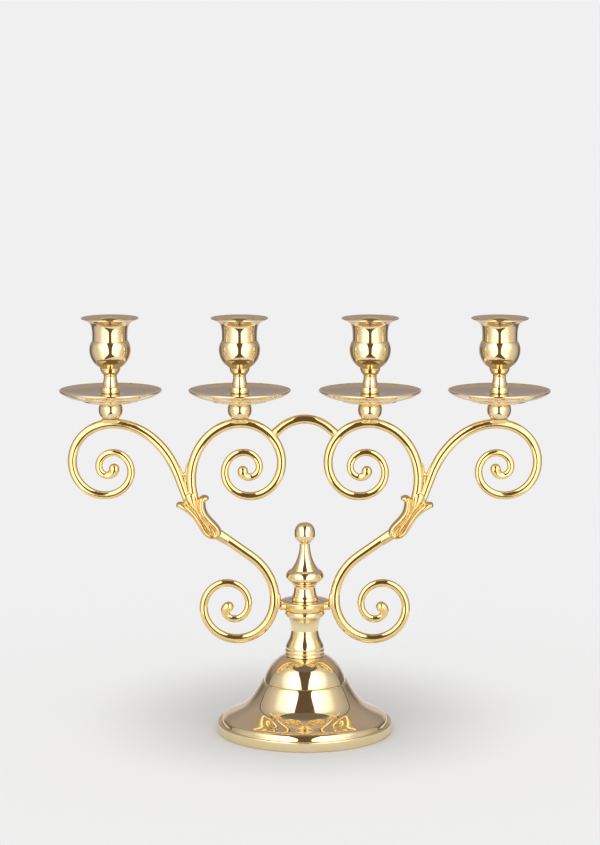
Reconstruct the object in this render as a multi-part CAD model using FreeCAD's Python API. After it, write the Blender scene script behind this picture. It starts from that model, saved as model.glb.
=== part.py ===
"""Tabletop candelabra: four candle cups on scrolled brass arms over a turned stem and a bell-shaped foot.

Millimetres, +Z up. The origin is on the table under the stem, +X runs along the arms, and the arms lie in
the XZ plane. The right-hand (+X) half is drawn and mirrored. One tie rod clamps foot, stem, crossbar, cap
disc and finial together, and one stud holds each ball knob, drip pan and candle cup on its scroll.
"""
import FreeCAD, Part
import math
import os

Vec = FreeCAD.Vector
UP = Vec(0, 0, 1)
ACROSS = Vec(0, 1, 0)

# ---- driving dimensions -------------------------------------------------------------------------------
HEIGHT = 285.0             # table to candle cup rim
LIGHT_X = (44.0, 131.2)    # axes of the inner and the outer lights
FOOT_R = 59.7              # foot rim
FOOT_WALL = 2.5            # width of the ring that stands on the table
SEAM_Z = 35.0              # dome seated on skirt
SPIGOT_R = 27.3            # dome spigot in the skirt's neck
SPIGOT_DEEP = 3.6
CROWN_Z = 52.4             # top of the dome, under the stem
SHELL = 1.8                # wall of dome and skirt
HUB_Z = 84.0               # underside of the crossbar
HUB_TALL = 5.6
HUB_R = 12.6
LUG_HALF = 3.2             # half width of a crossbar lug
LUG_REACH = 21.0           # lug end, inside the scroll rod that cuts it
DISC_R = 16.7
DISC_THICK = 1.4
FINIAL_Z = HUB_Z + HUB_TALL + DISC_THICK
FINIAL_TALL = 53.8

TIE_R = 2.95               # M6 rod
TIE_FIT = 0.05             # radial clearance of rod and studs in their holes
TIE_BOTTOM = 41.0
TIE_TOP = 111.0
WASHER_R = 11.0
WASHER_THICK = 1.6
NUT_FLATS = 10.0
NUT_TALL = 5.0

STUD_R = 1.95              # M4 stud
STUD_BOTTOM = 210.9
STUD_TOP = 252.0
BOSS_TOP = 216.6
BOSS_R = 5.6
BALL_R = 8.05
BALL_Z = 222.5
PAN_SEAT = 228.2           # underside of the pan's well
PAN_FLOOR = 233.9          # upper face, which the cup stands on
SOCKET_R = 10.9            # for a 22 mm dinner candle
SOCKET_FLOOR = 259.5
SOCKET_TOP = 277.0         # the socket's straight wall ends and the bell mouth begins

# Scrolls: start point (x, z), heading in degrees, turning sense, bend radius at every 100 degrees turned,
# straight root below the start, and number of arcs up to the eye
BEND_STEP = 100.0
ARCS_PER_STEP = 3
OUTER = ((85.9, 177.2), 71.0, -1, (65.3, 26.7, 23.4, 16.9, 11.8, 8.9, 4.9, 4.5), 20.0, 21)
INNER = ((76.0, 164.7), 77.6, 1, (48.5, 28.6, 25.7, 17.7, 14.2, 10.5, 6.9, 4.1), 8.0, 22)
LOWER = ((36.6, 121.4), 215.4, 1, (41.8, 25.7, 22.1, 15.3, 14.1, 8.1, 4.0), 26.0, 20)
ROD_R = 3.3                # rod up to TAPER_FROM of its turning
ROD_THIN_R = 2.5           # rod from TAPER_TO of its turning
TAPER_FROM = 0.15
TAPER_TO = 0.63
EYE_R = 3.5                # bulb that ends the rod in the eye

ARCH_TOP_Z = 215.9
ARCH_BEND = 24.5
ARCH_ANGLE = 40.8
ARCH_LEG = 12.0
ARCH_R = 3.1

# Calyx sections from mouth to arm: centre x, centre z, half width, half depth, tilt in degrees
CALYX = (
    (76.3, 159.4, 11.6, 7.4, -14.0), (75.3, 154.2, 7.9, 6.2, -16.0), (71.2, 148.6, 6.9, 5.8, -30.0),
    (66.2, 142.2, 6.2, 5.5, -38.0), (62.9, 138.0, 6.0, 5.3, -44.0), (60.4, 135.6, 4.9, 4.6, -52.0),
    (57.6, 133.7, 3.6, 3.6, -58.7),
)
# Web cast in the fork of the two upper scrolls: its corners up each rod, and the hollow of its top edge
WEB_SIDES = ((77.5, 184.5), (76.5, 170.0), (76.0, 158.0), (79.5, 158.0), (83.0, 170.0), (86.5, 184.5))
WEB_TOP = (81.2, 181.4)
WEB_HALF = 1.8


# ---- helpers ------------------------------------------------------------------------------------------
def turned(outline, x=0.0):
    """Solid of revolution about a vertical axis at x. The outline is a closed list of (radius, z) corners;
    a list inside it is a smooth curve through its points, starting from the corner before it."""
    last = Vec(outline[0][0], 0, outline[0][1])
    edges = []
    for item in outline[1:] + [outline[0]]:
        if isinstance(item, list):
            points = [last] + [Vec(r, 0, z) for r, z in item]
            curve = Part.BSplineCurve()
            curve.interpolate(points)
            edges.append(curve.toShape())
            last = points[-1]
            continue
        point = Vec(item[0], 0, item[1])
        if (point - last).Length > 1e-6:
            edges.append(Part.LineSegment(last, point).toShape())
        last = point
    face = Part.Face(Part.Wire(edges))
    solid = face.revolve(Vec(0, 0, 0), UP, 360)
    solid.translate(Vec(x, 0, 0))
    return solid if solid.Volume > 0 else solid.reversed()


def drill(radius, bottom, top, x=0.0):
    return Part.makeCylinder(radius, top - bottom, Vec(x, 0, bottom), UP)


def pointing(heading):
    return Vec(math.cos(math.radians(heading)), 0, math.sin(math.radians(heading)))


def disc_face(centre, normal, radius):
    return Part.Face(Part.Wire(Part.makeCircle(radius, centre, normal)))


def bend_radius(bends, step):
    """Bend radius after a number of whole and part steps, falling by an even ratio within each step."""
    index = min(int(step), len(bends) - 2)
    part = step - index
    return bends[index] ** (1 - part) * bends[index + 1] ** part


def rod_radius(share):
    """Rod radius at a share of the turning from root to eye."""
    taper = min(1.0, max(0.0, (share - TAPER_FROM) / (TAPER_TO - TAPER_FROM)))
    return ROD_R + (ROD_THIN_R - ROD_R) * taper


def scroll(start, heading, sense, bends, root, count):
    """Scroll rod: a straight root, then tangent arcs whose bend tightens towards the bulb in the eye."""
    here = Vec(start[0], 0, start[1])
    ahead = pointing(heading)
    pieces = [disc_face(here - ahead * root, ahead, ROD_R).extrude(ahead * root)]
    angle = BEND_STEP / ARCS_PER_STEP
    for number in range(count):
        bend = bend_radius(bends, (number + 0.5) / ARCS_PER_STEP)
        rod = rod_radius((number + 0.5) / count)
        centre = here + Vec(-ahead.z, 0, ahead.x) * (sense * bend)
        pieces.append(disc_face(here, ahead, rod).revolve(centre, ACROSS * -sense, angle))
        heading += sense * angle
        ahead = pointing(heading)
        here = centre - Vec(-ahead.z, 0, ahead.x) * (sense * bend)
    pieces.append(Part.makeSphere(EYE_R, here))
    return pieces[0].multiFuse(pieces[1:])


def one_solid(shape):
    """The largest solid of a cut, without the crumbs a tangent cut may leave."""
    return max(shape.Solids, key=lambda solid: solid.Volume)


def mirrored(shape):
    return shape.mirror(Vec(0, 0, 0), Vec(1, 0, 0))


# ---- foot and stem ------------------------------------------------------------------------------------
def base_skirt():
    inner = FOOT_R - FOOT_WALL
    return turned([
        (inner, 0), (FOOT_R - 0.4, 0), (FOOT_R, 0.5), (FOOT_R, 6.1), [(59.45, 6.75), (58.8, 7.0)],
        (57.7, 7.0), (57.4, 7.6),
        [(56.6, 9.3), (54.9, 10.9), (52.2, 12.2), (49.0, 13.6), (45.6, 15.4), (42.4, 17.5), (39.9, 19.5),
         (38.0, 21.5), (35.9, 24.2), (33.8, 27.2), (31.9, 30.2), (30.3, 33.0), (29.2, SEAM_Z - 0.3)],
        (28.9, SEAM_Z), (SPIGOT_R, SEAM_Z), (SPIGOT_R, SEAM_Z - SPIGOT_DEEP - 0.6), (29.0, 30.4),
        [(30.1, 29.4), (32.0, 26.4), (34.2, 23.2), (36.4, 20.4), (38.4, 18.3), (41.0, 16.1), (44.4, 13.8),
         (47.8, 12.0), (50.8, 10.6), (53.6, 9.2), (inner - 1.6, 7.2), (inner, 4.6)],
    ])


def base_dome():
    spigot = SPIGOT_R - 0.05
    under = SEAM_Z - SPIGOT_DEEP
    bore = TIE_R + TIE_FIT
    return turned([
        (bore, CROWN_Z), (13.0, CROWN_Z),
        [(15.6, 51.7), (18.0, 50.3), (20.2, 48.5), (22.4, 46.4), (24.3, 44.0), (26.0, 41.0), (27.3, 38.0),
         (28.1, SEAM_Z)],
        (spigot, SEAM_Z), (spigot, under), (spigot - SHELL, under), (spigot - SHELL, SEAM_Z + 1.5),
        [(24.5, 39.5), (22.8, 42.7), (20.8, 45.2), (18.8, 47.2), (16.8, 48.8), (14.6, 50.0),
         (12.6, CROWN_Z - SHELL)],
        (bore, CROWN_Z - SHELL),
    ])


def base_washer():
    top = CROWN_Z - SHELL
    return turned([(TIE_R + 0.25, top - WASHER_THICK), (WASHER_R, top - WASHER_THICK), (WASHER_R, top),
                   (TIE_R + 0.25, top)])


def base_nut():
    top = CROWN_Z - SHELL - WASHER_THICK
    corner = NUT_FLATS / math.sqrt(3)
    corners = [Vec(corner * math.cos(math.radians(a)), corner * math.sin(math.radians(a)), top - NUT_TALL)
               for a in range(0, 361, 60)]
    hexagon = Part.Face(Part.makePolygon(corners)).extrude(UP * NUT_TALL)
    chamfer = turned([(0.0, top), (corner, top), (corner, top - NUT_TALL + 0.8),
                      (NUT_FLATS / 2, top - NUT_TALL), (0.0, top - NUT_TALL)])
    return hexagon.common(chamfer).cut(drill(TIE_R + TIE_FIT, top - NUT_TALL - 1, top + 1))


def tie_rod():
    return turned([(0.0, TIE_BOTTOM), (TIE_R - 0.6, TIE_BOTTOM), (TIE_R, TIE_BOTTOM + 0.6),
                   (TIE_R, TIE_TOP - 0.6), (TIE_R - 0.6, TIE_TOP), (0.0, TIE_TOP)])


def stem_column():
    bore = TIE_R + TIE_FIT
    return turned([
        (bore, CROWN_Z), (12.7, CROWN_Z), [(13.45, 53.3), (13.3, 54.4)], (12.75, 54.9),
        [(13.3, 55.8), (13.2, 56.9)], (12.6, 57.5), [(13.0, 58.4), (12.7, 59.8), (11.3, 62.5), (10.1, 65.2),
         (9.5, 68.2), (9.35, 70.5), (9.5, 72.8), (9.9, 75.0), (10.5, 77.3), (11.4, 79.2)], (12.3, 80.0),
        [(13.35, 80.9), (13.5, 82.2), (13.1, HUB_Z)], (bore, HUB_Z),
    ])


def crossbar(lower_scrolls):
    """Cast eye round the tie rod with a lug each side, shaped to the scroll rods it is brazed to."""
    top = HUB_Z + HUB_TALL
    eye = turned([(0.0, HUB_Z), (HUB_R - 0.6, HUB_Z), (HUB_R, HUB_Z + 0.6), (HUB_R, top - 0.5),
                  (HUB_R - 0.5, top), (0.0, top)])
    lugs = Part.makeBox(2 * LUG_REACH, 2 * LUG_HALF, HUB_TALL, Vec(-LUG_REACH, -LUG_HALF, HUB_Z))
    bar = eye.fuse(lugs).cut(drill(TIE_R + TIE_FIT, HUB_Z - 1, top + 1))
    return one_solid(bar.cut(lower_scrolls))


def cap_disc():
    low = HUB_Z + HUB_TALL
    return turned([(TIE_R + TIE_FIT, low), (DISC_R - 0.5, low), [(DISC_R, low + 0.6), (DISC_R - 0.6, FINIAL_Z)],
                   (TIE_R + TIE_FIT, FINIAL_Z)])


def finial():
    z = FINIAL_Z
    bore = TIE_R + TIE_FIT
    return turned([
        (bore, z), (9.2, z), [(9.3, z + 1.0), (8.8, z + 2.6)], (8.4, z + 3.0),
        [(7.7, z + 5.0), (7.3, z + 8.0), (7.5, z + 10.0)], (8.2, z + 10.8), (8.6, z + 12.0),
        [(10.2, z + 13.6), (12.2, z + 15.2), (12.7, z + 17.0), (12.2, z + 19.2), (11.0, z + 20.6)],
        (9.9, z + 21.4), (9.6, z + 22.4),
        [(8.4, z + 24.2), (6.7, z + 26.6), (5.4, z + 29.2), (4.4, z + 32.0), (3.7, z + 35.0),
         (3.45, z + 38.0), (3.6, z + 39.7)],
        (3.9, z + 40.1), [(5.4, z + 42.2), (6.65, z + 44.6), (6.95, z + 46.9), (6.3, z + 49.9),
         (4.4, z + 52.3), (2.2, z + 53.5), (0.0, z + FINIAL_TALL)],
        (0.0, TIE_TOP + 1.0), (bore, TIE_TOP + 1.0),
    ])


# ---- lights -------------------------------------------------------------------------------------------
def boss(x):
    """Small turned seat that carries the ball knob on top of a scroll."""
    return turned([(0.0, 211.8), (2.6, 211.8), (5.2, 214.6), (BOSS_R, BOSS_TOP), (0.0, BOSS_TOP)], x)


def ball_knob(x):
    ball = Part.makeSphere(BALL_R, Vec(x, 0, BALL_Z))
    slab = drill(BALL_R + 1, BOSS_TOP, PAN_SEAT, x)
    return ball.common(slab).cut(drill(STUD_R + TIE_FIT, BOSS_TOP - 1, PAN_SEAT + 1, x))


def drip_pan(x):
    bore = STUD_R + TIE_FIT
    return turned([
        (bore, PAN_SEAT), (18.5, PAN_SEAT), [(19.3, 228.5), (19.6, 229.2)], (20.4, 229.5),
        [(24.0, 230.1), (27.0, 231.0), (30.0, 232.0), (32.3, 233.2), (33.9, 234.6), (34.6, 235.7)],
        [(34.6, 236.1), (34.2, 236.2)], (33.6, 235.9), [(31.6, 234.8), (29.2, 234.2)],
        (28.8, PAN_FLOOR), (bore, PAN_FLOOR),
    ], x)


def candle_cup(x):
    bore = STUD_R + TIE_FIT
    return turned([
        (bore, PAN_FLOOR), (6.3, PAN_FLOOR), [(6.6, 235.2), (6.3, 236.9), (5.5, 238.2)], (5.05, 238.5),
        [(5.1, 239.6), (4.8, 241.6), (4.4, 243.6), (4.35, 245.0), (4.6, 246.3)], (4.9, 246.6),
        [(5.8, 248.0), (6.7, 249.6), (7.0, 251.0)], (7.4, 251.5),
        [(8.8, 252.6), (10.6, 254.1), (12.1, 256.4), (13.2, 259.2), (13.85, 262.0), (13.85, 264.8),
         (13.3, 267.4), (12.3, 269.2)],
        (11.95, 269.5), [(11.9, 272.5), (12.0, 275.5), (12.5, 278.2), (13.4, 280.4), (14.8, 282.0),
         (16.4, 283.1), (18.2, 283.9), (19.3, 284.3)],
        [(19.4, 284.7), (19.0, HEIGHT)],
        [(16.6, 284.2), (14.4, 282.8), (12.7, 281.1), (11.5, 279.2), (SOCKET_R, SOCKET_TOP)],
        (SOCKET_R, SOCKET_FLOOR + 1.0), (SOCKET_R - 1.0, SOCKET_FLOOR), (0.0, SOCKET_FLOOR),
        (0.0, STUD_TOP + 1.0), (bore, STUD_TOP + 1.0),
    ], x)


def light_stud(x):
    return turned([(0.0, STUD_BOTTOM), (STUD_R - 0.4, STUD_BOTTOM), (STUD_R, STUD_BOTTOM + 0.4),
                   (STUD_R, STUD_TOP - 0.4), (STUD_R - 0.4, STUD_TOP), (0.0, STUD_TOP)], x)


# ---- arms ---------------------------------------------------------------------------------------------
def fork_web():
    corners = [Vec(x, -WEB_HALF, z) for x, z in WEB_SIDES]
    hollow = Part.Arc(corners[-1], Vec(WEB_TOP[0], -WEB_HALF, WEB_TOP[1]), corners[0]).toShape()
    sides = Part.makePolygon(corners)
    return Part.Face(Part.Wire(sides.Edges + [hollow])).extrude(ACROSS * (2 * WEB_HALF))


def calyx_body():
    wires = []
    for x, z, half_width, half_depth, tilt in CALYX:
        wide = pointing(tilt)
        normal = Vec(-wide.z, 0, wide.x)
        if half_width > half_depth:
            ellipse = Part.Ellipse(Vec(x, 0, z) + wide * half_width, Vec(x, 0, z) + ACROSS * half_depth,
                                   Vec(x, 0, z))
            wires.append(Part.Wire(ellipse.toShape()))
        else:
            wires.append(Part.Wire(Part.Edge(Part.Circle(Vec(x, 0, z), normal, half_width))))
    return Part.makeLoft(wires, True, False).fuse(fork_web())


def top_arch(inner_scrolls):
    """Shallow arch over the finial: an arc with a straight leg each side, brazed between the scrolls."""
    centre = Vec(0, 0, ARCH_TOP_Z - ARCH_BEND)
    top = centre + UP * ARCH_BEND
    pieces = []
    for side in (1, -1):
        pieces.append(disc_face(top, Vec(1, 0, 0), ARCH_R).revolve(centre, ACROSS * side, ARCH_ANGLE))
        angle = math.radians(ARCH_ANGLE)
        end = centre + Vec(side * math.sin(angle), 0, math.cos(angle)) * ARCH_BEND
        along = Vec(side * math.cos(angle), 0, -math.sin(angle))
        pieces.append(disc_face(end, along, ARCH_R).extrude(along * ARCH_LEG))
    return one_solid(pieces[0].multiFuse(pieces[1:]).cut(inner_scrolls))


def build():
    nodes = {
        "base_skirt": base_skirt(), "base_dome": base_dome(), "base_washer": base_washer(),
        "base_nut": base_nut(), "tie_rod": tie_rod(), "stem_column": stem_column(),
        "cap_disc": cap_disc(), "finial": finial(),
    }
    holes = [drill(STUD_R + TIE_FIT, STUD_BOTTOM, BOSS_TOP + 1, x) for x in LIGHT_X]
    outer = scroll(*OUTER)
    outer = one_solid(outer.fuse(boss(LIGHT_X[1])).cut(holes[1]))
    inner = scroll(*INNER)
    inner = one_solid(inner.fuse(boss(LIGHT_X[0])).cut(holes[0]).cut(outer))
    lower = one_solid(scroll(*LOWER))
    calyx = one_solid(calyx_body().cut(outer.multiFuse([inner, lower])))
    for name, right in (("outer_scroll", outer), ("inner_scroll", inner), ("lower_scroll", lower),
                        ("calyx", calyx)):
        nodes[name + "_right"] = right
        nodes[name + "_left"] = mirrored(right)
    nodes["crossbar"] = crossbar([nodes["lower_scroll_left"], nodes["lower_scroll_right"]])
    nodes["top_arch"] = top_arch([nodes["inner_scroll_left"], nodes["inner_scroll_right"]])
    lights = (("outer_left", -LIGHT_X[1]), ("inner_left", -LIGHT_X[0]),
              ("inner_right", LIGHT_X[0]), ("outer_right", LIGHT_X[1]))
    for name, x in lights:
        nodes["light_stud_" + name] = light_stud(x)
        nodes["ball_knob_" + name] = ball_knob(x)
        nodes["drip_pan_" + name] = drip_pan(x)
        nodes["candle_cup_" + name] = candle_cup(x)
    return nodes


os.makedirs("parts", exist_ok=True)
whole = FreeCAD.BoundBox()
for node_name, shape in build().items():
    shape.exportStep("parts/" + node_name + ".step")
    whole.add(shape.BoundBox)
    print("%-26s %d solid, valid %s, %.0f mm3" % (node_name, len(shape.Solids), shape.isValid(), shape.Volume))
print("box %.1f x %.1f x %.1f mm" % (whole.XLength, whole.YLength, whole.ZLength))
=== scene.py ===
# %% [markdown]
# # A tabletop candelabra in polished brass
#
# The CAD model holds every size and every joint of this candelabra. This lesson gives it its looks: each
# piece that the eye sees is modelled again with bmesh operators, at the same place and size, and is given
# a procedural brass. Everything is in metres, in the CAD model's own frame: +Z is up, the arms run along
# X, and the origin is on the table under the stem.

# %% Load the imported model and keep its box
import math

import bmesh
import bpy
from mathutils import Matrix, Vector


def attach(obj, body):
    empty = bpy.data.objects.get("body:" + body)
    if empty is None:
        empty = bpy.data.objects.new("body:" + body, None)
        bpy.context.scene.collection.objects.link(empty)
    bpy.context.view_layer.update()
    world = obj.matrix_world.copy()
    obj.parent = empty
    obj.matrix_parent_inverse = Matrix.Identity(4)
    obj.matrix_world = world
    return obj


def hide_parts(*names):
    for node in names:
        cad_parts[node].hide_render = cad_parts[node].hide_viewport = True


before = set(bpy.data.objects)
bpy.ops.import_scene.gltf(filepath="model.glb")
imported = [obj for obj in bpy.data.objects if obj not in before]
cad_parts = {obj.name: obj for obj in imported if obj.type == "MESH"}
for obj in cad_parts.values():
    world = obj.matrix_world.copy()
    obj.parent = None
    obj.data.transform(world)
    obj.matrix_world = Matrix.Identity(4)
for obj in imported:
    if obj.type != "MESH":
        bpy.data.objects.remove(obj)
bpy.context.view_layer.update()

# %% [markdown]
# ## The camera
#
# The candelabra is seen from the front and a little above, with a long lens, so its arms hardly taper
# with distance. The camera's height, distance and downward tilt are named in millimetres and degrees.

# %% Camera
MM = 0.001
CAMERA_BACK = 1872.9
CAMERA_UP = 501.8
CAMERA_TILT = 8.748
CAMERA_TURN = 0.10     # degrees to the left, so that the stem stands just right of the middle
CAMERA_LENS = 119.4    # mm, on a sensor 36 mm wide

camera_data = bpy.data.cameras.new("camera")
camera_data.lens = CAMERA_LENS
camera_data.sensor_width = 36.0
camera = bpy.data.objects.new("camera", camera_data)
camera.location = (0, -CAMERA_BACK * MM, CAMERA_UP * MM)
camera.rotation_euler = (math.radians(90 - CAMERA_TILT), 0, math.radians(CAMERA_TURN))
bpy.context.scene.collection.objects.link(camera)
bpy.context.scene.camera = camera
bpy.context.scene.view_settings.view_transform = "Standard"
print("camera at", tuple(round(v, 3) for v in camera.location))

# %% [markdown]
# ## One helper for shader nodes
#
# Every material below is a small node tree. One function adds a node, sets its properties and its
# inputs, and links an input when it is given another node's output.

# %% Shader helpers
def linear(hex_colour):
    """An sRGB hex colour as the linear RGBA that shader sockets expect."""
    channels = [int(hex_colour[i:i + 2], 16) / 255 for i in (1, 3, 5)]
    return [c / 12.92 if c <= 0.04045 else ((c + 0.055) / 1.055) ** 2.4 for c in channels] + [1.0]


def add_node(tree, kind, inputs=None, **settings):
    node = tree.nodes.new(kind)
    for name, value in settings.items():
        setattr(node, name, value)
    for name, value in (inputs or {}).items():
        if isinstance(value, bpy.types.NodeSocket):
            tree.links.new(value, node.inputs[name])
        else:
            node.inputs[name].default_value = value
    return node


def empty_material(name):
    material = bpy.data.materials.new(name)
    material.use_nodes = True
    material.node_tree.nodes.clear()
    return material, material.node_tree


# %% [markdown]
# ## Turned brass
#
# Cups, pans, balls, stem, finial and foot are turned on a lathe from yellow brass, polished and
# lacquered. The surface is close to a mirror, so its colour is mostly the room tinted pale gold. What
# gives it away as metal turned by hand is small: very fine rings left by the tool, and slow waves where
# the buffing wheel dwelt. Both run round the axis, so they are made from the distance along Z.

# %% Turned brass material
def turned_brass(name, axis_x=0.0, haze_low=0.045, haze_high=0.085):
    """Yellow brass, lathe turned, buffed and lacquered: a pale gold mirror with faint rings."""
    material, tree = empty_material(name)
    place = add_node(tree, "ShaderNodeTexCoord")
    centred = add_node(tree, "ShaderNodeMapping", {"Vector": place.outputs["Object"],
                                                   "Location": (-axis_x, 0, 0)})
    # tool rings of 0.4 mm, drawn coarser than the real 0.1 mm so that they show at all
    rings = add_node(tree, "ShaderNodeMapping", {"Vector": centred.outputs["Vector"],
                                                 "Scale": (60, 60, 2500)})
    ring_noise = add_node(tree, "ShaderNodeTexNoise", {"Vector": rings.outputs["Vector"], "Scale": 1.0,
                                                       "Detail": 2.0, "Roughness": 0.6})
    # buffing waves about 12 mm across
    buff = add_node(tree, "ShaderNodeTexNoise", {"Vector": centred.outputs["Vector"], "Scale": 80.0,
                                                 "Detail": 1.0, "Roughness": 0.4})
    ring_bump = add_node(tree, "ShaderNodeBump", {"Height": ring_noise.outputs["Fac"], "Strength": 0.05,
                                                  "Distance": 0.00004})
    buff_bump = add_node(tree, "ShaderNodeBump", {"Height": buff.outputs["Fac"], "Strength": 0.12,
                                                  "Distance": 0.0002, "Normal": ring_bump.outputs["Normal"]})
    haze = add_node(tree, "ShaderNodeMapRange", {"Value": buff.outputs["Fac"], "From Min": 0.35,
                                                 "From Max": 0.7, "To Min": haze_low, "To Max": haze_high})
    tint = add_node(tree, "ShaderNodeMix", {"Factor": buff.outputs["Fac"], "A": linear("#F8E6BE"),
                                            "B": linear("#F3DCAA")}, data_type="RGBA")
    shader = add_node(tree, "ShaderNodeBsdfPrincipled",
                      {"Base Color": tint.outputs["Result"], "Metallic": 1.0,
                       "Roughness": haze.outputs["Result"], "Normal": buff_bump.outputs["Normal"],
                       "Coat Weight": 0.15, "Coat Roughness": 0.05})
    add_node(tree, "ShaderNodeOutputMaterial", {"Surface": shader.outputs["BSDF"]})
    return material


brass_turned = turned_brass("turned_yellow_brass")
print("made", brass_turned.name)

# %% [markdown]
# ## Cast brass
#
# The scrolls, the leafy calyxes and the crossbar are sand castings, dressed by hand and then polished.
# Their brass is a deeper yellow, and the polish leaves a softly uneven skin with a few pin-head dimples.

# %% Cast brass material
def cast_brass(name, light="#F8DFA2", dark="#F2D28C", haze_low=0.05, haze_high=0.10):
    """Cast yellow brass, hand polished: deeper gold, softly uneven."""
    material, tree = empty_material(name)
    place = add_node(tree, "ShaderNodeTexCoord")
    # hand-dressed unevenness, about 8 mm across
    dressing = add_node(tree, "ShaderNodeTexNoise", {"Vector": place.outputs["Object"], "Scale": 125.0,
                                                     "Detail": 1.0, "Roughness": 0.4})
    # sand grain, about 0.7 mm
    sand = add_node(tree, "ShaderNodeTexNoise", {"Vector": place.outputs["Object"], "Scale": 1500.0,
                                                 "Detail": 2.0, "Roughness": 0.6})
    dress_bump = add_node(tree, "ShaderNodeBump", {"Height": dressing.outputs["Fac"], "Strength": 0.12,
                                                   "Distance": 0.0003})
    sand_bump = add_node(tree, "ShaderNodeBump", {"Height": sand.outputs["Fac"], "Strength": 0.03,
                                                  "Distance": 0.0001,
                                                  "Normal": dress_bump.outputs["Normal"]})
    haze = add_node(tree, "ShaderNodeMapRange", {"Value": sand.outputs["Fac"], "From Min": 0.3,
                                                 "From Max": 0.75, "To Min": haze_low, "To Max": haze_high})
    tint = add_node(tree, "ShaderNodeMix", {"Factor": dressing.outputs["Fac"], "A": linear(light),
                                            "B": linear(dark)}, data_type="RGBA")
    shader = add_node(tree, "ShaderNodeBsdfPrincipled",
                      {"Base Color": tint.outputs["Result"], "Metallic": 1.0,
                       "Roughness": haze.outputs["Result"], "Normal": sand_bump.outputs["Normal"],
                       "Coat Weight": 0.1, "Coat Roughness": 0.08})
    add_node(tree, "ShaderNodeOutputMaterial", {"Surface": shader.outputs["BSDF"]})
    return material


brass_cast = cast_brass("cast_yellow_brass")
# the wheel can't reach into the relief of the calyx, so its skin stays satin and a little duller
brass_satin = cast_brass("cast_satin_brass", "#EBD39C", "#DDBF80", haze_low=0.13, haze_high=0.2)
print("made", brass_cast.name, "and", brass_satin.name)

# %% [markdown]
# ## Zinc-plated steel
#
# The tie rod, its nut and washer, and the four studs are ordinary plated steel. Zinc is bluish grey and
# slightly cloudy, with a faint spangle a millimetre or two across.

# %% Zinc plated steel material
def zinc_steel(name):
    """Bright zinc plate on steel: cool grey, softly clouded."""
    material, tree = empty_material(name)
    place = add_node(tree, "ShaderNodeTexCoord")
    spangle = add_node(tree, "ShaderNodeTexNoise", {"Vector": place.outputs["Object"], "Scale": 700.0,
                                                    "Detail": 3.0})
    haze = add_node(tree, "ShaderNodeMapRange", {"Value": spangle.outputs["Fac"], "To Min": 0.22,
                                                 "To Max": 0.42})
    tint = add_node(tree, "ShaderNodeMix", {"Factor": spangle.outputs["Fac"], "A": linear("#C9CCCE"),
                                            "B": linear("#B4B8BD")}, data_type="RGBA")
    bump = add_node(tree, "ShaderNodeBump", {"Height": spangle.outputs["Fac"], "Strength": 0.1,
                                             "Distance": 0.0001})
    shader = add_node(tree, "ShaderNodeBsdfPrincipled",
                      {"Base Color": tint.outputs["Result"], "Metallic": 1.0,
                       "Roughness": haze.outputs["Result"], "Normal": bump.outputs["Normal"]})
    add_node(tree, "ShaderNodeOutputMaterial", {"Surface": shader.outputs["BSDF"]})
    return material


steel_zinc = zinc_steel("zinc_plated_steel")
hardware = [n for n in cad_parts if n.startswith(("tie_rod", "base_nut", "base_washer", "light_stud"))]
for name in hardware:
    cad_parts[name].data.materials.clear()
    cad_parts[name].data.materials.append(steel_zinc)
print("plated steel on", len(hardware), "CAD nodes")

# %% [markdown]
# ## How a turned piece is made
#
# A lathe sweeps one outline round an axis, and so does the spin operator. The outline is a short list of
# corners in millimetres, (radius, height). A list inside it is a smooth run, drawn by Blender's own NURBS
# curve, which keeps highlights free of kinks. After the spin, doubles on the axis are merged, and
# the crisp corners get a small bevel, because no turned edge is perfectly sharp.

# %% Outline, spin and finish
SPIN_STEPS = 144
EDGE_BREAK = 0.22      # mm, how far polishing has rounded a turned corner
FINE_BREAK = 0.15      # on the balls and pans
THIN_BREAK = 0.12      # on the cups, whose mouth is thin
SEAM_BREAK = 0.10      # on the dome, where it meets the skirt
MERGE = 2e-6           # metres, within which two vertices are one
CORNER_ANGLE = 24      # degrees, from which a bend in the outline counts as a corner


def smooth_run(points, resolution=5):
    """Points along a NURBS curve with these control points, first and last included."""
    curve = bpy.data.curves.new("run", "CURVE")
    curve.dimensions = "3D"
    curve.resolution_u = resolution
    spline = curve.splines.new("NURBS")
    spline.points.add(len(points) - 1)
    for control, (across, up) in zip(spline.points, points):
        control.co = (across, 0, up, 1)
    spline.order_u = min(4, len(points))
    spline.use_endpoint_u = True
    holder = bpy.data.objects.new("run", curve)
    mesh = bpy.data.meshes.new_from_object(holder)
    run = [(v.co.x, v.co.z) for v in mesh.vertices]
    bpy.data.meshes.remove(mesh)
    bpy.data.objects.remove(holder)
    bpy.data.curves.remove(curve)
    return run


def full_outline(outline):
    """The outline with its smooth runs filled in."""
    points = [outline[0]]
    for item in outline[1:]:
        if isinstance(item, list):
            points += smooth_run([points[-1]] + item)[1:]
        else:
            points.append(item)
    return points


def finish_mesh(bm, name, material, sharp_angle=40):
    """Merges doubles, turns the faces outwards, shades smooth and makes the object."""
    bmesh.ops.remove_doubles(bm, verts=bm.verts, dist=MERGE)
    bmesh.ops.recalc_face_normals(bm, faces=bm.faces)
    for face in bm.faces:
        face.smooth = True
    mesh = bpy.data.meshes.new(name)
    bm.to_mesh(mesh)
    bm.free()
    mesh.set_sharp_from_angle(angle=math.radians(sharp_angle))
    mesh.materials.append(material)
    piece = bpy.data.objects.new(name, mesh)
    bpy.context.scene.collection.objects.link(piece)
    return piece


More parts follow.
